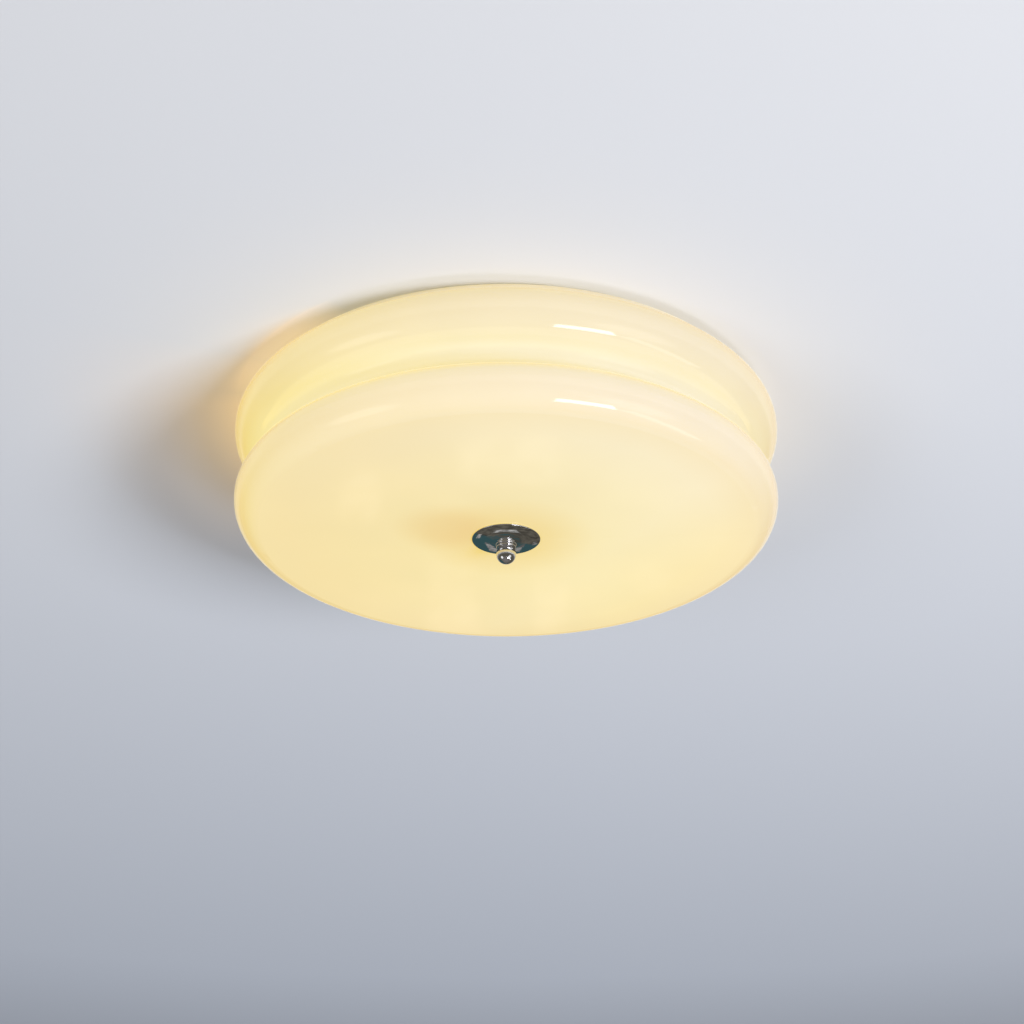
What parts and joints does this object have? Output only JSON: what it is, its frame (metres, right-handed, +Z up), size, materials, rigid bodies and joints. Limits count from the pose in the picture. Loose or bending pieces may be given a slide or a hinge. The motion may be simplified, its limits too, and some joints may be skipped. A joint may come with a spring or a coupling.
{
  "type": "flush mount ceiling light",
  "caption": "Round flush mount ceiling light: tiered opal glass shade held up by a ball finial on a centre rod, over an LED ring board, driver pan and mounting bar.",
  "frame": {"origin": "middle of the mounting bar where it lies on the ceiling; z = 0 is the ceiling plane", "axes": "+Z up into the ceiling, the lamp hangs towards -Z; +X along the mounting bar through both ceiling slots; -Y towards the viewer of the picture"},
  "size_m": [0.4, 0.4, 0.1238],
  "materials": {
    "opal_glass": "glossy cased opal glass, cream",
    "chrome": "polished",
    "pan_paint": "white powder coat",
    "zinc_steel": "zinc plated",
    "black_steel": "dark zinc",
    "brass": "plain",
    "rubber": "translucent white silicone",
    "gland_rubber": "black rubber",
    "board_white": "white solder mask on aluminium",
    "led_phosphor": "phosphor",
    "lens_clear": "clear moulded lens",
    "magnet": "nickel plated",
    "plug_plastic": "moulded",
    "driver_plastic": "moulded",
    "driver_board": "green circuit board",
    "driver_terminal": "moulded",
    "transformer": "tape wound ferrite",
    "capacitor": "sleeved can",
    "terminal_plastic": "moulded",
    "copper_tin": "tinned copper",
    "lead_brown": "sleeving",
    "lead_blue": "sleeving",
    "lead_green": "green and yellow sleeving",
    "lead_red": "sleeving",
    "lead_black": "sleeving"
  },
  "bodies": {
    "ceiling_base": {"crossbar": "zinc_steel", "crossbar_studs": "zinc_steel", "stud_washers": "zinc_steel", "dome_nuts": "zinc_steel", "ceiling_pan": "pan_paint", "centre_rod": "zinc_steel", "rod_upper_nut": "zinc_steel", "rod_lock_washer": "zinc_steel", "rod_lower_nut": "zinc_steel", "shade_stop_nut": "zinc_steel", "led_board": "board_white", "led_chips": "led_phosphor", "led_lenses": "lens_clear", "magnet_feet": "magnet", "foot_screws": "black_steel", "led_plug": "plug_plastic", "driver_case": "driver_plastic", "driver_lid": "driver_plastic", "driver_board": "driver_board", "driver_terminals": "driver_terminal", "driver_transformer": "transformer", "driver_capacitor": "capacitor", "driver_screws": "black_steel", "terminal_block": "terminal_plastic", "terminal_sleeves": "brass", "terminal_screws": "zinc_steel", "terminal_fixing_screw": "black_steel", "earth_washer": "zinc_steel", "earth_lug": "copper_tin", "earth_screw": "brass", "pan_gland": "gland_rubber", "live_lead": "lead_brown", "neutral_lead": "lead_blue", "earth_lead": "lead_green", "led_lead_positive": "lead_red", "led_lead_negative": "lead_black"},
    "shade": {"glass_shade": "opal_glass", "shade_grommet": "rubber", "inner_washer": "zinc_steel", "outer_washer": "rubber"},
    "trim": {"trim_dish": "chrome"},
    "knob": {"finial": "chrome"}
  },
  "joints": [
    {"name": "shade_lowering", "type": "slide", "parent": "ceiling_base", "child": "shade", "axis": [0, 0, -1], "range_m": [0, 0.14]},
    {"name": "finial_travel", "type": "slide", "parent": "shade", "child": "trim", "axis": [0, 0, -1], "range_m": [0, 0.008]},
    {"name": "finial_turn", "type": "hinge", "parent": "trim", "child": "knob", "pos_m": [0, 0, -0.11], "axis": [0, 0, -1], "range_deg": [0, 2880]}
  ],
  "couplings": [
    {"joint": "finial_turn", "follows": "finial_travel", "rad_per_m": 6283.2}
  ]
}
